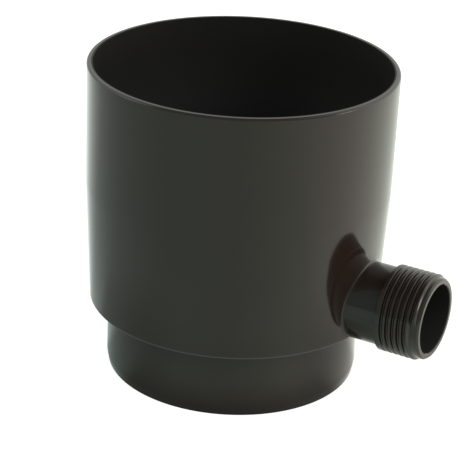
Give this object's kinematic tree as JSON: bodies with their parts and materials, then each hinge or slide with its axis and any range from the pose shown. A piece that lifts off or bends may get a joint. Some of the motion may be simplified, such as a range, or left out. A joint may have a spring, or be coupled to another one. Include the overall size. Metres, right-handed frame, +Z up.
{
  "type": "rainwater diverter",
  "caption": "Round downpipe rainwater diverter: a tapered socket body that steps in to a spigot, a ring trough with a weir inside, and a threaded side outlet for a hose.",
  "frame": {"origin": "centre of the spigot's lower end, in the plane that the part stands on", "axes": "+Z up the downpipe towards the socket, +X out of the threaded outlet"},
  "size_m": [0.1148, 0.0932, 0.0975],
  "materials": {
    "moulding": "dark brown, glossy as moulded"
  },
  "bodies": {
    "root": {"diverter_body": "moulding"}
  },
  "joints": []
}
